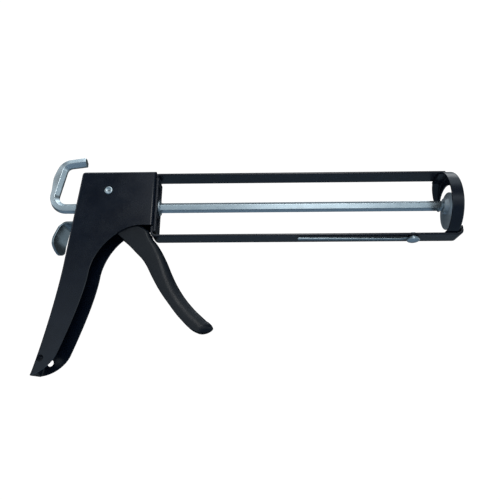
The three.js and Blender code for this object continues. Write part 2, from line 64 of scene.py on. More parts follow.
# ---- the CAD part's driving dimensions, in millimetres and degrees ----
GAP = 0.3
FRONT = 244.3
STRAP_WIDTH, STRAP_THICK = 16.6, 1.9
TOP_STRAP_END, BOTTOM_STRAP_END = 240, 248
TAB_HEIGHT = 20.2
STRAP_OUTER = 28.3
STRAP_INNER = STRAP_OUTER - STRAP_THICK
PLATE_THICK = 2
REAR_BEND, FRONT_BEND = 3.4, 3
SHEET = 1.2
HOUSING_HALF = 9.6
HOUSING_FRONT = -2.3
HOUSING_TOP, HOUSING_TOP_REAR, HOUSING_BOTTOM = 30.1, -65, -18.4
WAIST, HEEL = (-71.7, -49.5), (-86.5, -136.9)
NEAR_SHIFT, FAR_SHIFT = -1.9, 1.8
NEAR_HANG_HOLE, FAR_HANG_HOLE, HANG_HOLE_RADIUS = (-79.8, -124.5), (-79.3, -126.7), 2.6
FLANGE_REACH = 5.6
ROD_CORNER, ROD_TURN = 7.5 / math.sqrt(3), 15
ROD_HOLE = ROD_CORNER + 0.5
ROD_END = 236.3
LIMB_LOW, LIMB_HIGH, LIMB_BULGE = 12.7, 42, 2.5
NECK_RADIUS = 2.6
BUSHING_BODY = 5.6
PIVOT = (-40.9, 12.1)
PIVOT_RADIUS = 2.4
NOSE = (PIVOT[0] + 4.8, PIVOT[1] + 12)
TRIGGER_HALF, TRIGGER_SHEET = 7.75, 1.5
DRIVE_FACE = NOSE[0] + 3 + GAP
BRACKET_FACE = -51
LEVER_TOP = (-56.5, 16.6)
LEVER_HALF, THUMB_HALF = 7.5, 10.2
EAR_BACK, EAR_FRONT, EAR_NOTCH = (-30.3, -26), (-17.2, -19.8), (-33.6, -10.5)
EAR_BOSS = 6.5
PISTON_RADIUS, PISTON_DROP, HUB_RADIUS = 15.6, 4.6, 7.5
HUB_AT, DISH, PISTON_HALF_THICK = 237.8, 3.2, 0.6
COLLAR_LENGTH, COLLAR_RADIUS, COLLAR_SHEET, LIP_THICK = 9.8, 27.9, 1.5, 1.4
NOZZLE_RADIUS, NOZZLE_CENTRE = 21.3, (6.1, -1.8)
WIRE_PIVOT = (208.6, -3)
WIRE_RADIUS, WIRE_LENGTH, WIRE_SWING = 1.3, 94, 1.5
RIVET_SHANK = 2
EYE_TOP = -STRAP_OUTER - 0.4
EYE_THICK = 1.6

# ---- how the looks refine those shapes, in millimetres and degrees ----
HOUSING_CORNER, FOLD_OFFSET = 2.7, 2.2
HOOK_RADIUS, HOOK_SOFTNESS = 4.05, 0.6  # the bent hook's section is this share of the way to round
PISTON_TILT = 4
TIP_REACH = 8.6  # of the trigger's closed tip, past its last open section
THUMB_TWIST = 2.3

# ---- camera, in the same millimetres, and floor, in metres ----
CAMERA_PLACE, CAMERA_TARGET = (84.4, -367.9, -159.2), (76.66, 0, -37.62)
LENS, SENSOR = 34.23, 36
FLOOR_RADIUS, FLOOR_DROP = 1.3, 0.40
FLOOR_SEEN, FLOOR_BOUNCE, FLOOR_GLOW = (0.82, 0.83, 0.84), (0.30, 0.38, 0.47), 0.45


def at(x, y, z):
    """A point of the gun's millimetres in the row frame, in metres."""
    return ORIGIN + Vector((x, y, z)) * MM


# ---- camera, stage and light ----
def aim(obj, target):
    obj.rotation_euler = (target - obj.location).to_track_quat("-Z", "Y").to_euler()


def make_camera():
    data = bpy.data.cameras.new("camera")
    data.lens, data.sensor_width = LENS, SENSOR
    data.clip_start, data.clip_end = 0.01, 20
    camera = bpy.data.objects.new("camera", data)
    bpy.context.scene.collection.objects.link(camera)
    camera.location = at(*CAMERA_PLACE)
    aim(camera, at(*CAMERA_TARGET))
    bpy.context.scene.camera = camera


def math_node(tree, operation, *values):
    """A math node whose inputs are numbers or other nodes' outputs."""
    node = tree.nodes.new("ShaderNodeMath")
    node.operation = operation
    for socket, value in zip(node.inputs, values):
        if isinstance(value, (int, float)):
            socket.default_value = value
        else:
            tree.links.new(value, socket)
    return node.outputs[0]


def make_floor():
    """A pale disc well below the gun, which hangs in the air. It bounces a darker, bluer light."""
    mesh = bpy.data.meshes.new("floor")
    sides = 96
    ring = [(FLOOR_RADIUS * math.cos(a), FLOOR_RADIUS * math.sin(a), -FLOOR_DROP)
            for a in (2 * math.pi * i / sides for i in range(sides))]
    mesh.from_pydata(ring, [], [list(range(sides))])
    floor = bpy.data.objects.new("floor", mesh)
    bpy.context.scene.collection.objects.link(floor)
    material = bpy.data.materials.new("floor_pale")
    material.use_nodes = True
    tree = material.node_tree
    shader = tree.nodes["Principled BSDF"]
    shader.inputs["Roughness"].default_value = 0.9
    seen = tree.nodes.new("ShaderNodeLightPath").outputs["Is Camera Ray"]
    mix = tree.nodes.new("ShaderNodeMix")
    mix.data_type = "RGBA"
    mix.inputs[6].default_value = (*FLOOR_BOUNCE, 1)
    mix.inputs[7].default_value = (*FLOOR_SEEN, 1)
    tree.links.new(seen, mix.inputs["Factor"])
    tree.links.new(mix.outputs[2], shader.inputs["Base Color"])
    shader.inputs["Emission Color"].default_value = (1, 1, 1, 1)
    tree.links.new(math_node(tree, "MULTIPLY", seen, FLOOR_GLOW), shader.inputs["Emission Strength"])
    mesh.materials.append(material)


# The room's brightness at heights from straight down (-1) to straight up (1), and its gains to the
# right and to the back.
ROOM_LEVELS = (
    (-1, 0.12), (-0.4, 0.14), (-0.1, 0.30), (0.10, 0.62), (0.28, 0.08),
    (0.5, 0.035), (0.68, 0.18), (0.8, 0.7), (1, 0.6),
)
ROOM_TO_RIGHT, ROOM_TO_BACK = 0.5, -0.62
ROOM_COLOR = (0.80, 0.92, 1.0)
BACKDROP_STRENGTH = 1.05


def make_world():
    """Plain white behind the gun, and a softer grey room for its light and reflections."""
    world = bpy.data.worlds.new("world")
    bpy.context.scene.world = world
    world.use_nodes = True
    tree = world.node_tree
    tree.nodes.clear()
    coords = tree.nodes.new("ShaderNodeTexCoord")
    split = tree.nodes.new("ShaderNodeSeparateXYZ")
    tree.links.new(coords.outputs["Generated"], split.inputs[0])
    height = tree.nodes.new("ShaderNodeMapRange")
    height.inputs["From Min"].default_value = -1
    tree.links.new(split.outputs["Z"], height.inputs["Value"])
    ramp = tree.nodes.new("ShaderNodeValToRGB")
    ramp.color_ramp.elements.remove(ramp.color_ramp.elements[1])
    for z, level in ROOM_LEVELS:
        ramp.color_ramp.elements.new((z + 1) / 2).color = (level, level, level, 1)
    ramp.color_ramp.elements.remove(ramp.color_ramp.elements[0])
    tree.links.new(height.outputs["Result"], ramp.inputs["Fac"])
    side = math_node(tree, "MULTIPLY_ADD", split.outputs["X"], ROOM_TO_RIGHT, 1)
    depth = math_node(tree, "MULTIPLY_ADD", split.outputs["Y"], ROOM_TO_BACK, side)
    level = math_node(tree, "MULTIPLY", ramp.outputs["Color"], depth)
    room = tree.nodes.new("ShaderNodeBackground")
    room.inputs["Color"].default_value = (*ROOM_COLOR, 1)
    tree.links.new(level, room.inputs["Strength"])
    white = tree.nodes.new("ShaderNodeBackground")
    white.inputs["Color"].default_value = (1, 1, 1, 1)
    white.inputs["Strength"].default_value = BACKDROP_STRENGTH
    path = tree.nodes.new("ShaderNodeLightPath")
    mix = tree.nodes.new("ShaderNodeMixShader")
    tree.links.new(path.outputs["Is Camera Ray"], mix.inputs[0])
    tree.links.new(room.outputs[0], mix.inputs[1])
    tree.links.new(white.outputs[0], mix.inputs[2])
    out = tree.nodes.new("ShaderNodeOutputWorld")
    tree.links.new(mix.outputs[0], out.inputs["Surface"])


def area_light(name, place, target, size, power, color):
    data = bpy.data.lights.new(name, "AREA")
    data.shape = "RECTANGLE"
    data.size, data.size_y = size
    data.energy = power
    data.color = color
    light = bpy.data.objects.new(name, data)
    bpy.context.scene.collection.objects.link(light)
    light.location = at(*place)
    aim(light, at(*target))


def make_lights():
    middle = (80, 0, -30)
    area_light("key_softbox", (225, -800, 340), middle, (0.30, 0.30), 1.0, (1.0, 0.99, 0.97))
    area_light("wide_softbox", (85, -810, 345), middle, (0.56, 0.34), 0.58, (0.96, 0.99, 1.0))
    area_light("low_softbox", (215, -800, -120), middle, (0.30, 0.22), 0.17, (0.94, 0.98, 1.0))
    area_light("top_softbox", (120, -60, 800), middle, (1.2, 0.4), 2.2, (0.96, 0.98, 1.0))
    area_light("left_softbox", (-700, -250, 300), middle, (0.5, 0.5), 0.45, (0.93, 0.97, 1.0))


make_camera()
make_floor()
make_world()
make_lights()
bpy.context.scene.view_settings.view_transform = "Standard"


# ---- materials ----
class Nodes:
    """A material's node tree with short calls for the nodes that the finishes share."""

    def __init__(self, name):
        self.material = bpy.data.materials.new(name)
        self.material.use_nodes = True
        self.tree = self.material.node_tree
        self.shader = self.tree.nodes["Principled BSDF"]
        self.coords = self.tree.nodes.new("ShaderNodeTexCoord").outputs["Object"]

    def link(self, source, target):
        self.tree.links.new(source, target)

    def stretched(self, x, y, z):
        node = self.tree.nodes.new("ShaderNodeMapping")
        node.inputs["Scale"].default_value = (x, y, z)
        self.link(self.coords, node.inputs["Vector"])
        return node.outputs["Vector"]

    def noise(self, scale, detail=3.0, rough=0.5, coords=None):
        node = self.tree.nodes.new("ShaderNodeTexNoise")
        node.inputs["Scale"].default_value = scale
        node.inputs["Detail"].default_value = detail
        node.inputs["Roughness"].default_value = rough
        self.link(coords or self.coords, node.inputs["Vector"])
        return node.outputs["Fac"]

    def cells(self, scale):
        node = self.tree.nodes.new("ShaderNodeTexVoronoi")
        node.inputs["Scale"].default_value = scale
        self.link(self.coords, node.inputs["Vector"])
        split = self.tree.nodes.new("ShaderNodeSeparateColor")
        self.link(node.outputs["Color"], split.inputs[0])
        return split.outputs["Red"]

    def ranged(self, value, low, high, to_low, to_high):
        node = self.tree.nodes.new("ShaderNodeMapRange")
        limits = {"From Min": low, "From Max": high, "To Min": to_low, "To Max": to_high}
        for name, number in limits.items():
            node.inputs[name].default_value = number
        self.link(value, node.inputs["Value"])
        return node.outputs["Result"]

    def math(self, kind, a, b):
        return math_node(self.tree, kind, a, b)

    def mixed(self, factor, low, high):
        node = self.tree.nodes.new("ShaderNodeMix")
        node.data_type = "RGBA"
        self.link(factor, node.inputs["Factor"])
        for socket, color in ((node.inputs[6], low), (node.inputs[7], high)):
            if isinstance(color, tuple):
                socket.default_value = (*color, 1)
            else:
                self.link(color, socket)
        return node.outputs[2]

    def edges(self, radius):
        """1 along the piece's convex and concave edges, 0 on its open faces."""
        bevel = self.tree.nodes.new("ShaderNodeBevel")
        bevel.samples = 4
        bevel.inputs["Radius"].default_value = radius
        geometry = self.tree.nodes.new("ShaderNodeNewGeometry")
        dot = self.tree.nodes.new("ShaderNodeVectorMath")
        dot.operation = "DOT_PRODUCT"
        self.link(bevel.outputs["Normal"], dot.inputs[0])
        self.link(geometry.outputs["Normal"], dot.inputs[1])
        return self.ranged(dot.outputs["Value"], 0.985, 0.80, 0.0, 1.0)

    def bump(self, height, strength, distance):
        node = self.tree.nodes.new("ShaderNodeBump")
        node.inputs["Strength"].default_value = strength
        node.inputs["Distance"].default_value = distance
        self.link(height, node.inputs["Height"])
        self.link(node.outputs["Normal"], self.shader.inputs["Normal"])


def paint(name, dark, light, worn, rough, peel):
    """Stoved paint: slow colour drift, orange peel, dust specks and slightly worn edges."""
    n = Nodes(name)
    drift = n.ranged(n.noise(38, 4, 0.6), 0.35, 0.68, 0.0, 1.0)
    base = n.mixed(drift, dark, light)
    specks = n.ranged(n.noise(2600, 1, 0.4), 0.70, 0.80, 0.0, 0.15)
    base = n.mixed(specks, base, light)
    wear = n.math("MULTIPLY", n.edges(0.0005), n.ranged(n.noise(420, 3, 0.6), 0.42, 0.62, 0.0, 0.7))
    n.link(n.mixed(wear, base, worn), n.shader.inputs["Base Color"])
    scuffs = n.ranged(n.noise(90, 5, 0.65), 0.3, 0.7, rough[0], rough[1])
    n.link(scuffs, n.shader.inputs["Roughness"])
    n.bump(n.noise(peel, 2, 0.5), 0.10, 0.00002)
    return n.material


def plated(name, dark, light, tint, rough, stretch=(1, 1, 1)):
    """Zinc plate: blue-grey spangle, cloudy patches, fine drawing lines and stains."""
    n = Nodes(name)
    n.shader.inputs["Metallic"].default_value = 0.9
    spangle = n.ranged(n.cells(620), 0.0, 1.0, 0.0, 0.6)
    cloud = n.ranged(n.noise(170, 5, 0.62), 0.38, 0.62, 0.0, 1.0)
    blend = n.math("MULTIPLY", n.math("ADD", spangle, cloud), 0.62)
    base = n.mixed(blend, dark, light)
    stain = n.ranged(n.noise(70, 4, 0.6), 0.52, 0.70, 0.0, 0.6)
    base = n.mixed(stain, base, tint)
    n.link(base, n.shader.inputs["Base Color"])
    lines = n.noise(1, 3, 0.6, n.stretched(*(v * 900 for v in stretch)))
    n.link(n.ranged(n.math("ADD", lines, n.math("MULTIPLY", cloud, 0.5)), 0.4, 1.1, rough[0], rough[1]),
           n.shader.inputs["Roughness"])
    n.bump(n.math("ADD", lines, n.noise(340, 3, 0.5)), 0.05, 0.00002)
    return n.material


BLACK = paint("black_paint", (0.0018, 0.0050, 0.0135), (0.0042, 0.0088, 0.0195), (0.045, 0.055, 0.072),
              (0.20, 0.30), 1700)
TRIGGER_BLACK = paint("trigger_paint", (0.0030, 0.0060, 0.0115), (0.0065, 0.0105, 0.0165),
                      (0.060, 0.070, 0.086), (0.34, 0.46), 2300)
TRIGGER_BLACK.node_tree.nodes["Principled BSDF"].inputs["Specular IOR Level"].default_value = 0.36
ZINC = plated("zinc", (0.48, 0.58, 0.64), (0.62, 0.72, 0.77), (0.54, 0.61, 0.64), (0.20, 0.32))
ROD_ZINC = plated("rod_zinc", (0.60, 0.70, 0.76), (0.66, 0.76, 0.81), (0.62, 0.70, 0.74),
                  (0.18, 0.28), (0.06, 1, 1))
# A darker copy of the zinc, for the release lever and the puncture wire. Its darkness is painted shade: the
# same zinc, darkened so that those pieces look shaded.
SHADED_ZINC = plated("shaded_zinc", (0.27, 0.34, 0.38), (0.38, 0.46, 0.51), (0.31, 0.36, 0.38), (0.24, 0.34))
DISC_ZINC = plated("disc_zinc", (0.54, 0.61, 0.66), (0.64, 0.72, 0.78), (0.57, 0.64, 0.68), (0.38, 0.50))
DISC_ZINC.node_tree.nodes["Principled BSDF"].inputs["Metallic"].default_value = 0.5
WORN_ZINC = plated("worn_zinc", (0.24, 0.29, 0.33), (0.58, 0.65, 0.69), (0.38, 0.38, 0.35), (0.28, 0.5))
SPRING = plated("spring_steel", (0.26, 0.28, 0.30), (0.44, 0.47, 0.49), (0.34, 0.32, 0.30), (0.28, 0.45))


# ---- mesh building ----
def new_object(name, points, faces):
    mesh = bpy.data.meshes.new(name)
    mesh.from_pydata([at(*p) for p in points], [], faces)
    mesh.validate()
    obj = bpy.data.objects.new(name, mesh)
    bpy.context.scene.collection.objects.link(obj)
    bm = bmesh.new()
    bm.from_mesh(mesh)
    bmesh.ops.remove_doubles(bm, verts=bm.verts, dist=1e-7)
    bmesh.ops.recalc_face_normals(bm, faces=bm.faces)
    bm.to_mesh(mesh)
    bm.free()
    return obj


def applied(obj):
    """Replaces the object's mesh by the mesh that its modifiers make."""
    bpy.context.view_layer.update()
    graph = bpy.context.evaluated_depsgraph_get()
    mesh = bpy.data.meshes.new_from_object(obj.evaluated_get(graph))
    obj.modifiers.clear()
    obj.data = mesh


def combine(obj, other, operation):
    """Cuts or joins other into obj, and removes other."""
    modifier = obj.modifiers.new("combine", "BOOLEAN")
    modifier.operation = operation
    modifier.solver = "EXACT"
    modifier.object = other
    applied(obj)
    bpy.data.objects.remove(other)
    return obj


def cut(obj, *cutters):
    for cutter in cutters:
        combine(obj, cutter, "DIFFERENCE")
    return obj


def join(obj, *others):
    for other in others:
        combine(obj, other, "UNION")
    return obj


def finish_piece(obj, material, bevel=0.25, segments=2, sharp=40):
    """Rounds the piece's hard edges and shades its smooth runs."""
    bm = bmesh.new()
    bm.from_mesh(obj.data)
    bmesh.ops.remove_doubles(bm, verts=bm.verts, dist=2e-6)
    bmesh.ops.dissolve_degenerate(bm, edges=bm.edges, dist=2e-6)
    bm.to_mesh(obj.data)
    bm.free()
    if bevel:
        modifier = obj.modifiers.new("edge_rounding", "BEVEL")
        modifier.width = bevel * MM
        modifier.segments = segments
        modifier.limit_method = "ANGLE"
        modifier.angle_limit = math.radians(sharp)
        applied(obj)
    mesh = obj.data
    mesh.materials.clear()
    mesh.materials.append(material)
    for polygon in mesh.polygons:
        polygon.use_smooth = True
        polygon.material_index = 0
    bm = bmesh.new()
    bm.from_mesh(mesh)
    for edge in bm.edges:
        if len(edge.link_faces) == 2:
            edge.smooth = edge.calc_face_angle(0) < math.radians(50)
    bm.to_mesh(mesh)
    bm.free()
    weighted = obj.modifiers.new("flat_faces", "WEIGHTED_NORMAL")
    weighted.keep_sharp = True
    return obj


def turn_and_place(obj, degrees, axis, place):
    """Turns a piece about an axis through the gun's origin, then moves it to its place."""
    turn = Matrix.Rotation(math.radians(degrees), 3, axis)
    for v in obj.data.vertices:
        v.co = at(*place) + turn @ (v.co - ORIGIN)


def settle(obj, body, nodes):
    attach(obj, body)
    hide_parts(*nodes)
    return obj


def prism(name, outline, low, high, along="y"):
    """A closed outline given a thickness along Y (drawn in X, Z), X (in Y, Z) or Z (in X, Y)."""
    put = {
        "y": lambda a, b, h: (a, h, b),
        "x": lambda a, b, h: (h, a, b),
        "z": lambda a, b, h: (a, b, h),
    }[along]
    count = len(outline)
    points = [put(a, b, h) for h in (low, high) for a, b in outline]
    faces = [list(range(count)), list(range(count, 2 * count))]
    faces += [[i, (i + 1) % count, count + (i + 1) % count, count + i] for i in range(count)]
    return new_object(name, points, faces)


def circle(centre, radius, sides=48):
    return [(centre[0] + radius * math.cos(2 * math.pi * i / sides),
             centre[1] + radius * math.sin(2 * math.pi * i / sides)) for i in range(sides)]


def block(name, low, high):
    outline = [(low[0], low[2]), (high[0], low[2]), (high[0], high[2]), (low[0], high[2])]
    return prism(name, outline, low[1], high[1])


def loft(name, rings, closed=False, caps=True):
    """A tube through equal rings of points, open, capped flat or closed on itself."""
    count = len(rings[0])
    faces = []
    last = len(rings) if closed else len(rings) - 1
    for r in range(last):
        a, b = r * count, ((r + 1) % len(rings)) * count
        faces += [[a + i, a + (i + 1) % count, b + (i + 1) % count, b + i] for i in range(count)]
    if caps and not closed:
        faces += [list(range(count)), list(range((len(rings) - 1) * count, len(rings) * count))]
    return new_object(name, [p for ring in rings for p in ring], faces)


def turned(name, profile, axis, centre, sides=64):
    """A profile of (radius, distance along the axis) turned about a line along X, Y or Z."""
    closed = profile[0] == profile[-1]
    profile = profile[:-1] if closed else profile
    rings = []
    for i in range(sides):
        a = 2 * math.pi * i / sides
        c, s = math.cos(a), math.sin(a)
        put = {
            "x": lambda r, h: (h, centre[0] + r * c, centre[1] + r * s),
            "y": lambda r, h: (centre[0] + r * c, h, centre[1] + r * s),
            "z": lambda r, h: (centre[0] + r * c, centre[1] + r * s, h),
        }[axis]
        rings.append([put(r, h) for r, h in profile])
    count = len(profile)
    faces = []
    for i in range(sides):
        a, b = i * count, ((i + 1) % sides) * count
        steps = count if closed else count - 1
        faces += [[a + j, a + (j + 1) % count, b + (j + 1) % count, b + j] for j in range(steps)]
    return new_object(name, [p for ring in rings for p in ring], faces)


def arc(centre, radius, start, end, steps):
    """Points on an arc, with its angles in degrees."""
    angles = [math.radians(start + (end - start) * i / steps) for i in range(steps + 1)]
    return [(centre[0] + radius * math.cos(a), centre[1] + radius * math.sin(a)) for a in angles]


def bezier(p0, p1, p2, p3, steps=16):
    """Points on a Bezier curve, without its first."""
    points = []
    for i in range(1, steps + 1):
        t = i / steps
        u = 1 - t
        w = (u ** 3, 3 * u * u * t, 3 * u * t * t, t ** 3)
        points.append(tuple(sum(wk * p[k] for wk, p in zip(w, (p0, p1, p2, p3))) for k in (0, 1)))
    return points


def rounded_corner(before, corner, after, radius, steps=5):
    """Points on a fillet between two straight lines that meet at a corner."""
    c = Vector(corner)
    a, b = (Vector(before) - c).normalized(), (Vector(after) - c).normalized()
    half = math.acos(max(-1, min(1, a.dot(b)))) / 2
    start, end = c + a * radius / math.tan(half), c + b * radius / math.tan(half)
    centre = c + (a + b).normalized() * radius / math.sin(half)
    points = []
    for i in range(steps + 1):
        ray = (start - centre).lerp(end - centre, i / steps).normalized() * radius
        points.append(tuple(centre + ray))
    return points


# ---- bent lines in X and Z ----
def bent_line(start, heading, moves, fine=4):
    """Follows straight runs and turns from a start and a heading. Turns are positive to the left."""
    x, z = start
    angle = math.radians(heading)
    line = [(x, z, angle)]
    for kind, amount, radius in moves:
        if kind == "run":
            x += math.cos(angle) * amount
            z += math.sin(angle) * amount
            line.append((x, z, angle))
        else:
            steps = math.ceil(abs(amount) / fine)
            step = math.radians(amount) / steps
            chord = 2 * radius * math.sin(abs(step) / 2)
            for _ in range(steps):
                x += math.cos(angle + step / 2) * chord
                z += math.sin(angle + step / 2) * chord
                angle += step
                line.append((x, z, angle))
    return line


def sweep(name, line, section):
    """Carries (lift, side) pairs along a bent line. section may be a function of the point's number."""
    rings = []
    for i, (x, z, angle) in enumerate(line):
        pairs = section(i) if callable(section) else section
        rings.append([(x - math.sin(angle) * lift, side, z + math.cos(angle) * lift)
                      for lift, side in pairs])
    return loft(name, rings)


def strip_section(thick, half, radius=0.55, steps=3):
    """The section of a sheared strip with softly rolled edges."""
    pairs = []
    for lift, side, start in ((1, 1, 0), (-1, 1, 90), (-1, -1, 180), (1, -1, 270)):
        centre = (lift * (thick / 2 - radius), side * (half - radius))
        for i in range(steps + 1):
            a = math.radians(start + 90 * i / steps)
            pairs.append((centre[0] + radius * math.cos(a), centre[1] + radius * math.sin(a)))
    return pairs


def subdivided_run(line, spacing):
    """Adds points along straight runs, so that each stretch is at most spacing long."""
    out = [line[0]]
    for x, z, angle in line[1:]:
        px, pz, pangle = out[-1]
        length = math.hypot(x - px, z - pz)
        if abs(angle - pangle) < 1e-9 and length > spacing:
            count = math.ceil(length / spacing)
            for i in range(1, count):
                out.append((px + (x - px) * i / count, pz + (z - pz) * i / count, angle))
        out.append((x, z, angle))
    return out


# ---- housing ----
def housing_outline(shift):
    """One side plate's outline, as (points on the folded edge, points on the open edge)."""
    spine_top = (HOUSING_TOP_REAR, HOUSING_TOP)
    folded = [(HOUSING_FRONT, HOUSING_TOP)]
    folded += rounded_corner(folded[0], spine_top, WAIST, HOUSING_CORNER)
    folded += [WAIST]
    folded += bezier(WAIST, (-73.8, -76), (-81, -116), HEEL, 20)
    toe, knee = (-66 + shift, -121), (-48.8 + shift, -56)
    lower = bezier(HEEL, (-78 + shift, -136), (-69 + shift, -129), toe, 14)
    arch = bezier(toe, (-60 + shift, -104), (-50.3 + shift, -76), knee, 14)
    arch += bezier(knee, (-46 + shift, -38), (-30, -18.6), (-12, HOUSING_BOTTOM), 18)
    return folded, lower + arch + [(HOUSING_FRONT, HOUSING_BOTTOM)]


def make_housing():
    """A folded sheet, open along its lower edge and between its two front flanges."""
    folded, near_edge = housing_outline(NEAR_SHIFT)
    far_edge = housing_outline(FAR_SHIFT)[1]
    count = len(folded + near_edge)
    bm = bmesh.new()
    near = [bm.verts.new(at(x, -HOUSING_HALF, z)) for x, z in folded + near_edge]
    far = [bm.verts.new(at(x, HOUSING_HALF, z)) for x, z in folded + far_edge]
    bm.faces.new(near)
    bm.faces.new(far[::-1])
    fold_edges = []
    for i in range(count):
        j = (i + 1) % count
        face = bm.faces.new((near[j], near[i], far[i], far[j]))
        front = i == count - 1
        folds = i + 1 < len(folded)
        face.material_index = 2 if front else (0 if folds else 1)
        if folds or front:
            fold_edges += [bm.edges.get((near[i], near[j])), bm.edges.get((far[i], far[j]))]
    bmesh.ops.recalc_face_normals(bm, faces=bm.faces)
    bmesh.ops.bevel(bm, geom=fold_edges, offset=FOLD_OFFSET * MM, offset_type="OFFSET", segments=5,
                    profile=0.5, affect="EDGES", clamp_overlap=False)
    bmesh.ops.delete(bm, geom=[f for f in bm.faces if f.material_index == 1], context="FACES_ONLY")
    for y in (-FLANGE_REACH, FLANGE_REACH):
        faces = [f for f in bm.faces if f.material_index == 2]
        geometry = faces + list({e for f in faces for e in f.edges})
        geometry += list({v for f in faces for v in f.verts})
        bmesh.ops.bisect_plane(bm, geom=geometry, plane_co=at(0, y, 0), plane_no=(0, 1, 0))
    limit = FLANGE_REACH * MM
    mouth = [f for f in bm.faces if f.material_index == 2
             and abs(f.calc_center_median().y - ORIGIN.y) < limit - 1e-6]
    bmesh.ops.delete(bm, geom=mouth, context="FACES_ONLY")
    loose = [e for e in bm.edges if not e.link_faces]
    bmesh.ops.delete(bm, geom=loose, context="EDGES")
    bmesh.ops.delete(bm, geom=[v for v in bm.verts if not v.link_faces], context="VERTS")
    mesh = bpy.data.meshes.new("housing_shell")
    bm.to_mesh(mesh)
    bm.free()
    shell = bpy.data.objects.new("housing_shell", mesh)
    bpy.context.scene.collection.objects.link(shell)
    thicken = shell.modifiers.new("sheet", "SOLIDIFY")
    thicken.thickness = SHEET * MM
    thicken.offset = -1
    thicken.use_even_offset = True
    applied(shell)
    cut(shell,
        prism("near_hang_hole", circle(NEAR_HANG_HOLE, HANG_HOLE_RADIUS), -20, 0),
        prism("far_hang_hole", circle(FAR_HANG_HOLE, HANG_HOLE_RADIUS), 0, 20),
        prism("rivet_hole", circle(PIVOT, PIVOT_RADIUS + GAP), -20, 20),
        block("rod_slot", (-70, -ROD_HOLE, -ROD_HOLE - 0.5), (-55, ROD_HOLE, ROD_HOLE + 1)),
        block("lever_slot", (-74, -7.9, -19.2), (-60, 7.9, -13)))
    finish_piece(shell, BLACK, 0.3, 2, 50)
    settle(shell, "frame", ["housing"])


# ---- skeleton frame ----
def make_rear_plate():
    half, height = STRAP_WIDTH / 2, 24
    outline = []
    for corner, start in (((half - 1, height - 1), 0), ((1 - half, height - 1), 90),
                          ((1 - half, 1 - height), 180), ((half - 1, 1 - height), 270)):
        outline += arc(corner, 1, start, start + 90, 4)
    plate = prism("rear_plate", outline, -PLATE_THICK, 0, "x")
    cut(plate, *(prism("hole", circle((0, z), radius), -5, 5, "x")
                 for z, radius in ((15.5, 3.9), (-12.6, 3.9), (0, BUSHING_BODY + GAP))))
    finish_piece(plate, BLACK, 0.35)
    settle(plate, "frame", ["frame_rear_plate"])


def make_bushing():
    bore = ROD_HOLE
    profile = [
        (bore, -4.2), (BUSHING_BODY, -4.2), (BUSHING_BODY, GAP), (6.6, GAP), (6.6, 1.0), (6.45, 1.35),
        (6.1, 1.6), (bore + 0.3, 1.6), (bore, 1.35), (bore, -4.2),
    ]
    bushing = turned("bushing", profile, "x", (0, 0))
    finish_piece(bushing, WORN_ZINC, 0.12)
    settle(bushing, "frame", ["rod_bushing"])


def neck_cutters(low, high):
    """Blocks that narrow a strap where it passes between the housing's flanges."""
    front = HOUSING_FRONT + GAP + 0.4
    for side in (-1, 1):
        ys = sorted((side * (FLANGE_REACH - GAP), side * (STRAP_WIDTH / 2 + 1)))
        yield block("neck", (-10, ys[0], low), (front, ys[1], high))


def make_straps():
    back = -PLATE_THICK - GAP - STRAP_THICK / 2
    middle = STRAP_OUTER - STRAP_THICK / 2
    section = strip_section(STRAP_THICK, STRAP_WIDTH / 2)
    line = bent_line((back, TAB_HEIGHT), 90, [
        ("run", middle - REAR_BEND - TAB_HEIGHT, 0), ("turn", -90, REAR_BEND),
        ("run", TOP_STRAP_END - back - REAR_BEND, 0)], 9)
    top = sweep("top_strap_piece", line, section)
    cut(top, *neck_cutters(15, 40))
    finish_piece(top, BLACK, 0.3)
    settle(top, "frame", ["top_strap"])

    tab_top = HOUSING_BOTTOM - 0.6
    front = BOTTOM_STRAP_END - STRAP_THICK / 2
    line = bent_line((back, tab_top), -90, [
        ("run", tab_top + middle - REAR_BEND, 0), ("turn", 90, REAR_BEND),
        ("run", front - back - REAR_BEND - FRONT_BEND, 0), ("turn", 90, FRONT_BEND),
        ("run", -20.5 + middle - FRONT_BEND, 0)], 9)
    bottom = sweep("bottom_strap_piece", line, section)
    cut(bottom, prism("rivet_hole", circle(WIRE_PIVOT, RIVET_SHANK + GAP), -40, -20, "z"))
    finish_piece(bottom, BLACK, 0.3)
    settle(bottom, "frame", ["bottom_strap"])


def collar_section(angle):
    """The collar's closed section at an angle round the rod, as (distance along X, radius) pairs."""
    rear, roll = FRONT - COLLAR_LENGTH, 2.2
    c, s = math.cos(angle), math.sin(angle)
    reach = min(COLLAR_RADIUS, (STRAP_INNER - GAP) / max(abs(s), 1e-6))
    towards = c * NOZZLE_CENTRE[0] + s * NOZZLE_CENTRE[1]
    spare = NOZZLE_RADIUS ** 2 - NOZZLE_CENTRE[0] ** 2 - NOZZLE_CENTRE[1] ** 2
    inner = reach - COLLAR_SHEET
    lip = min(towards + math.sqrt(towards ** 2 + spare), inner - 0.9)
    fillet = min(roll - COLLAR_SHEET, (inner - lip) * 0.8)
    section = [(rear, reach)]
    section += [(FRONT - roll + roll * math.sin(t), reach - roll + roll * math.cos(t))
                for t in (math.radians(15 * k) for k in range(7))]
    section += [(FRONT, lip), (FRONT - LIP_THICK, lip)]
    section += [(FRONT - LIP_THICK - fillet * (1 - math.cos(t)), inner - fillet * (1 - math.sin(t)))
                for t in (math.radians(30 * k) for k in range(4))]
    return section + [(rear, inner)]


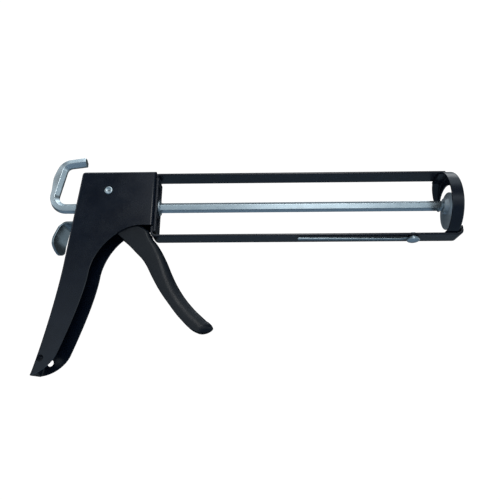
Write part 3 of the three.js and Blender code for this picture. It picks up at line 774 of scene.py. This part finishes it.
def make_collar():
    """A pressed ring: a band with a rolled front corner and an inward lip, open on the far side."""
    rear, sides = FRONT - COLLAR_LENGTH, 192
    rings = []
    for angle in (2 * math.pi * i / sides for i in range(sides)):
        rings.append([(x, r * math.cos(angle), r * math.sin(angle)) for x, r in collar_section(angle)])
    ring = loft("collar", rings, closed=True)
    mouth = [(rear - 2, 26.6), (rear + 0.5, 26.6), (FRONT - 1.2, 5.8), (FRONT + 2, 4.8), (FRONT + 2, -16),
             (FRONT - 3, -17), (rear + 1.5, -25), (rear - 2, -25)]
    cut(ring, prism("mouth", mouth, 9.3, 40))
    finish_piece(ring, BLACK, 0.3, 2, 50)
    settle(ring, "frame", ["front_collar"])


# ---- plunger ----
def hex_section(corner, rounding, steps=3):
    """A hexagon with rounded corners, turned a little from having two of them straight up and down."""
    pairs = []
    inset = rounding / math.cos(math.radians(30))
    for i in range(6):
        a = math.radians(60 * i + ROD_TURN)
        centre = ((corner - inset) * math.cos(a), (corner - inset) * math.sin(a))
        for k in range(steps + 1):
            b = a + math.radians(-30 + 60 * k / steps)
            pairs.append((centre[0] + rounding * math.cos(b), centre[1] + rounding * math.sin(b)))
    return pairs


def make_rod():
    """The hexagonal rod. Its hook is softened by the bending, and the upright limb bulges outwards."""
    line = bent_line((ROD_END, 0), 180, [
        ("run", ROD_END + 79, 0), ("turn", -100, 10.8), ("run", 23, 0),
        ("turn", -72, 8), ("run", 13.2, 0)], 5)
    line = subdivided_run(line, 2.5)
    plain = hex_section(ROD_CORNER, 0.55)

    def section(i):
        x, z, _ = line[i]
        t = (z - LIMB_LOW) / (LIMB_HIGH - LIMB_LOW)
        bulge = LIMB_BULGE * math.sin(math.pi * t) ** 2 if x < -70 and 0 < t < 1 else 0
        soft = HOOK_SOFTNESS * smooth((-70 - x) / 8)
        pairs = []
        for lift, side in plain:
            gain = 1 + soft * (HOOK_RADIUS / math.hypot(lift, side) - 1)
            pairs.append((lift * gain + bulge * max(0, lift / ROD_CORNER), side * gain))
        return pairs

    rod = sweep("rod", line, section)
    finish_piece(rod, ROD_ZINC, 0.5, 3, 60)
    neck = turned("neck", [(0, ROD_END - 1), (NECK_RADIUS, ROD_END - 1), (NECK_RADIUS, HUB_AT + 2.2),
                           (NECK_RADIUS - 0.3, HUB_AT + 2.5), (0, HUB_AT + 2.5)], "x", (0, 0), 32)
    # The neck joins after the rod's own edges are rounded, so the whole is finished again.
    join(rod, neck)
    finish_piece(rod, ROD_ZINC, 0)
    settle(rod, "rod", ["plunger_rod"])

    bore, back = NECK_RADIUS + GAP, HUB_AT + 1.5
    keeper = turned("keeper", [(bore, back), (4.4, back), (4.4, back + 0.6), (4.2, back + 1.1),
                               (3.6, back + 1.5), (bore, back + 1.5), (bore, back)], "x", (0, 0))
    finish_piece(keeper, WORN_ZINC, 0.12)
    settle(keeper, "rod", ["piston_keeper"])


def make_piston():
    """A pressed disc with a dished hub round a hole that is off its middle. It leans on its loose neck."""
    half, bore, step = PISTON_HALF_THICK, NECK_RADIUS + 0.6, HUB_RADIUS - 1.5
    reach = PISTON_RADIUS + PISTON_DROP + 1
    profile = [
        (bore, -half), (step - 0.4, -half), (step + 0.2, 0.15 - half),
        (HUB_RADIUS - 0.2, DISH - half - 0.2), (HUB_RADIUS + 0.5, DISH - half), (reach, DISH - half),
        (reach, DISH + half), (HUB_RADIUS, DISH + half), (HUB_RADIUS - 0.5, DISH + half - 0.2),
        (step, half), (bore, half), (bore, -half),
    ]
    disc = turned("piston", profile, "x", (0, 0), 96)
    outline = prism("outline", circle((0, -PISTON_DROP), PISTON_RADIUS, 96), -5, 10, "x")
    combine(disc, outline, "INTERSECT")
    finish_piece(disc, DISC_ZINC, 0.25, 2, 60)
    turn_and_place(disc, PISTON_TILT, "Y", (HUB_AT, 0, 0))
    settle(disc, "piston", ["piston_disc"])


# ---- trigger ----
# The channel's web follows FACE and its open edges follow RIM, from the housing to the tip.
FACE = [
    (-14, -17.2), (-6.4, -22.3), (-2.9, -28.5), (2.6, -35.5), (8.7, -46.5), (13.2, -56.5),
    (18.2, -66.5), (25, -77), (33, -86.5), (41, -94), (46, -98.6),
]
RIM = [
    (-31, -25.5), (-24.8, -30.8), (-18.6, -37), (-12.3, -43.5), (-6.2, -51.5), (-0.5, -62),
    (5.7, -72.5), (13.1, -82.7), (22.2, -94), (31.8, -102.6), (41.5, -106),
]


def spline_point(points, t):
    """A point on a Catmull-Rom curve through the points, with t from 0 to 1."""
    last = len(points) - 1
    place = min(max(t, 0), 1) * last
    i = min(int(place), last - 1)
    w = place - i
    p0, p1 = points[max(i - 1, 0)], points[i]
    p2, p3 = points[i + 1], points[min(i + 2, last)]
    out = []
    for a, b, c, d in zip(p0, p1, p2, p3):
        v0, v1 = (c - a) / 2, (d - b) / 2
        cubic, square = 2 * b - 2 * c + v0 + v1, -3 * b + 3 * c - 2 * v0 - v1
        out.append(cubic * w ** 3 + square * w ** 2 + v0 * w + b)
    return Vector(out)


def smooth(t):
    """Eases from 0 to 1 as t does."""
    t = min(max(t, 0), 1)
    return t * t * (3 - 2 * t)


def channel_section(depth, half, round_side, round_depth, sheet):
    """(depth, side) pairs out along one wall, over the web, and back inside, with rolled rims."""
    steps = 9
    in_side, in_depth = max(round_side - sheet * 0.8, 0.2), max(round_depth - sheet * 0.8, 0.2)
    angles = [math.radians(90 * i / steps) for i in range(steps + 1)]
    outer, inner = {}, {}
    for side in (-1, 1):
        outer[side] = [(round_depth * (1 - math.sin(a)), side * (half - round_side * (1 - math.cos(a))))
                       for a in angles]
        inner[side] = [(sheet + in_depth * (1 - math.sin(a)),
                        side * max(half - sheet - in_side * (1 - math.cos(a)), 0.02)) for a in angles]
    rim = min(sheet, half) / 2
    roll = depth - rim * 0.3
    tip = [(roll, half - rim * 0.12), (depth, half - rim), (roll, half - rim * 1.88)]
    near_outer, near_end, near_inner = [(d, -y) for d, y in tip]
    # Two points keep the web's middle. On its flat stretch the inner pair runs against the rest.
    flat = round_side < half - 0.4
    spread = half / 3 if flat else 0.05
    back = -spread if flat else spread
    return ([near_outer] + outer[-1] + [(0, -spread), (0, spread)] + outer[1][::-1] + tip
            + inner[1] + [(sheet, back), (sheet, -back)] + inner[-1][::-1] + [near_inner, near_end])


def trigger_ring(t):
    """Where the channel's section stands, and its size, at a share t of the trigger's length."""
    face, rim = spline_point(FACE, t), spline_point(RIM, t)
    inward = rim - face
    depth = inward.length
    inward.normalize()
    arch = smooth(t / 0.75)
    round_side = 3 + (TRIGGER_HALF - 0.3 - 3) * arch
    round_depth = min(3 + 5.5 * arch, depth - 1)
    section = channel_section(depth, TRIGGER_HALF, round_side, round_depth, TRIGGER_SHEET)
    return face, inward, depth, section


def make_trigger():
    """A pressed channel with a rounded web, a closed tip and two ears on the pivot."""
    rings = []
    stations, nose_steps, cut_at = 84, 14, 0.93
    for s in range(stations + 1):
        face, inward, depth, section = trigger_ring(cut_at * s / stations)
        rings.append([(face.x + inward.x * u, y, face.y + inward.y * u) for u, y in section])
    # The tip is a rounded end that closes like a spoon.
    ahead = (spline_point(FACE, cut_at + 0.01) + spline_point(RIM, cut_at + 0.01)
             - spline_point(FACE, cut_at - 0.01) - spline_point(RIM, cut_at - 0.01)).normalized()
    middle = face + inward * depth * 0.3
    for k in range(1, nose_steps + 1):
        a = math.radians(88 * k / nose_steps)
        scale = math.cos(a) ** 1.25
        forward = ahead * TIP_REACH * math.sin(a)
        ring = []
        for u, y in section:
            place = middle + (face + inward * u - middle) * scale + forward
            ring.append((place.x, y * scale, place.y))
        rings.append(ring)
    channel = loft("trigger_lever", rings)

    ear = arc(NOSE, 3, 0, 180, 12) + arc(PIVOT, EAR_BOSS, 171, 234, 10)
    ear += bezier(ear[-1], (-42, -4), (-39, -16), EAR_BACK, 12) + [EAR_FRONT]
    ear += bezier(EAR_FRONT, (-26, -15.5), (-33.6, -16.5), EAR_NOTCH, 12)
    ear += [(EAR_NOTCH[0], NOSE[1] - 4)]
    for side in (-1, 1):
        ys = sorted((side * (TRIGGER_HALF - TRIGGER_SHEET), side * TRIGGER_HALF))
        join(channel, prism("ear", ear, ys[0], ys[1]))
    cut(channel, prism("pin_hole", circle(PIVOT, PIVOT_RADIUS + GAP), -20, 20))
    finish_piece(channel, TRIGGER_BLACK, 0.2, 2, 55)
    settle(channel, "trigger", ["trigger"])


def make_trigger_rivet():
    face, head, dish = HOUSING_HALF + GAP, 3.4, 1.7
    half_profile = [
        (0, face + 0.45), (dish * 0.6, face + 0.42), (dish, face + 0.6), (dish + 0.25, face + 1.0),
        (dish + 0.55, face + 1.1), (head - 0.6, face + 1.1), (head - 0.2, face + 0.9),
        (head, face + 0.5), (head, face), (PIVOT_RADIUS, face),
    ]
    profile = [(r, -h) for r, h in half_profile] + half_profile[::-1]
    rivet = turned("pivot_rivet", profile, "y", PIVOT)
    finish_piece(rivet, ZINC, 0.08)
    settle(rivet, "frame", ["trigger_rivet"])


# ---- drive and release ----
def coil(name, low, high, radius, wire, turns, material, node):
    per_turn, sides = 36, 10
    steps = round(turns * per_turn)
    rings = []
    for s in range(steps + 1):
        a = 2 * math.pi * s / per_turn
        x = low + wire + (high - low - 2 * wire) * s / steps
        rings.append([])
        for i in range(sides):
            b = 2 * math.pi * i / sides
            out = radius + wire * math.cos(b)
            rings[-1].append((x + wire * math.sin(b), -out * math.sin(a), out * math.cos(a)))
    spring = loft(name, rings)
    finish_piece(spring, material, 0)
    return settle(spring, "frame", [node])


def make_springs():
    front = -4.8
    drive = coil("return_spring", DRIVE_FACE + 4 + 2 * GAP, front, 6.4, 0.7, 6, SPRING, "drive_spring")
    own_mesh(drive)
    seat = BRACKET_FACE - 1.5 - GAP
    release = coil("lever_spring", -56.2, seat, 6.2, 0.5, 2.5, SPRING, "release_spring")
    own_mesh(release)


def make_release_lever():
    """The brake plate and its thumb tab, bent from one strip. The tab's far side is twisted forwards."""
    wide, narrow = THUMB_HALF, LEVER_HALF
    line = bent_line(LEVER_TOP, -95, [
        ("run", 28.6, 0), ("turn", -85, 3.5), ("run", 11, 0), ("turn", 68, 4.5), ("run", 9, 0),
        ("turn", 40, 16), ("run", 4, 0)], 6)
    lever = sweep("thumb_lever", line, strip_section(1.7, wide, 0.5))
    end = line[-1][1]
    paddle = arc((0, end + wide), wide, 180, 360, 32)
    paddle += [(wide, -20.3), (wide - 0.5, -19.2), (narrow + 0.4, -16.8), (narrow, -16.2), (narrow, 30)]
    paddle += [(-narrow, 30), (-narrow, -16.2), (-narrow - 0.4, -16.8), (0.5 - wide, -19.2), (-wide, -20.3)]
    keep = prism("paddle", paddle, -100, -40, "x")
    combine(lever, keep, "INTERSECT")
    cut(lever, prism("rod_hole", circle((0, 0), ROD_HOLE + 0.2), -62, -54, "x"))
    for v in lever.data.vertices:
        _, y, z = (v.co - ORIGIN) / MM
        v.co.x += THUMB_TWIST * MM * smooth((y - 1) / 9) * smooth((-20 - z) / 9)
    # The darker zinc paints shade onto the lever.
    finish_piece(lever, SHADED_ZINC, 0.4, 2, 50)
    settle(lever, "release", ["release_lever"])


# ---- seal puncture wire ----
def make_puncture_wire():
    """A wire flattened into an eye, which swings on a domed rivet under the bottom strap."""
    axis_z, hole, underside = EYE_TOP - WIRE_RADIUS, RIVET_SHANK + GAP, EYE_TOP - EYE_THICK
    stations = [
        (3.2, 0.9, EYE_THICK / 2), (5, 1.3, EYE_THICK / 2), (6.5, 1.7, EYE_THICK / 2), (8.5, 1.55, 1.1),
        (11, WIRE_RADIUS, WIRE_RADIUS), (WIRE_LENGTH - 1.1, WIRE_RADIUS, WIRE_RADIUS),
        (WIRE_LENGTH - 0.8, 1.2, 1.2), (WIRE_LENGTH - 0.6, 0.95, 0.95),
    ]
    rings = []
    for reach, wide, high in stations:
        z = EYE_TOP - high if reach < 10 else axis_z
        rings.append([(-reach, wide * math.cos(a), z + high * math.sin(a))
                      for a in (2 * math.pi * i / 16 for i in range(16))])
    wire = loft("puncture_rod", rings)
    eye = turned("eye", [
        (hole, EYE_TOP), (4.25, EYE_TOP), (4.6, EYE_TOP - 0.35), (4.6, underside + 0.35),
        (4.25, underside), (hole, underside), (hole, EYE_TOP)], "z", (0, 0), 48)
    join(wire, eye)
    turn_and_place(wire, WIRE_SWING, "Z", (*WIRE_PIVOT, 0))
    # The darker zinc paints shade onto the wire.
    finish_piece(wire, SHADED_ZINC, 0)
    settle(wire, "puncture", ["puncture_wire"])

    head, peen = underside - GAP, -STRAP_INNER + GAP
    profile = [
        (0, head - 2.2), (1.4, head - 2.17), (2.6, head - 2.05), (3.6, head - 1.8), (4.4, head - 1.4),
        (5.0, head - 0.85), (5.2, head - 0.4), (5.2, head), (RIVET_SHANK, head), (RIVET_SHANK, peen),
        (3.4, peen), (3.3, peen + 0.4), (2.6, peen + 0.9), (1.4, peen + 1.15), (0, peen + 1.2),
    ]
    rivet = turned("puncture_pin", profile, "z", WIRE_PIVOT)
    finish_piece(rivet, ROD_ZINC, 0.1)
    settle(rivet, "frame", ["puncture_rivet"])


# ---- pieces inside the housing, which keep their CAD shapes ----
def dress_node(name, material, bevel):
    """Gives a CAD piece its finish, and rounds its edges by modifiers only."""
    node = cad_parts[name]
    node.data.materials.clear()
    node.data.materials.append(material)
    weld = node.modifiers.new("weld", "WELD")
    weld.merge_threshold = 2e-6
    rounding = node.modifiers.new("edge_rounding", "BEVEL")
    rounding.width = bevel * MM
    rounding.segments = 2
    rounding.limit_method = "ANGLE"
    rounding.angle_limit = math.radians(40)


make_housing()
make_rear_plate()
make_bushing()
make_straps()
make_collar()
make_rod()
make_piston()
make_trigger()
make_trigger_rivet()
make_springs()
make_release_lever()
make_puncture_wire()
for inner in ("trigger_spacer", "drive_plate_rear", "drive_plate_front", "release_bracket"):
    dress_node(inner, WORN_ZINC, 0.2)
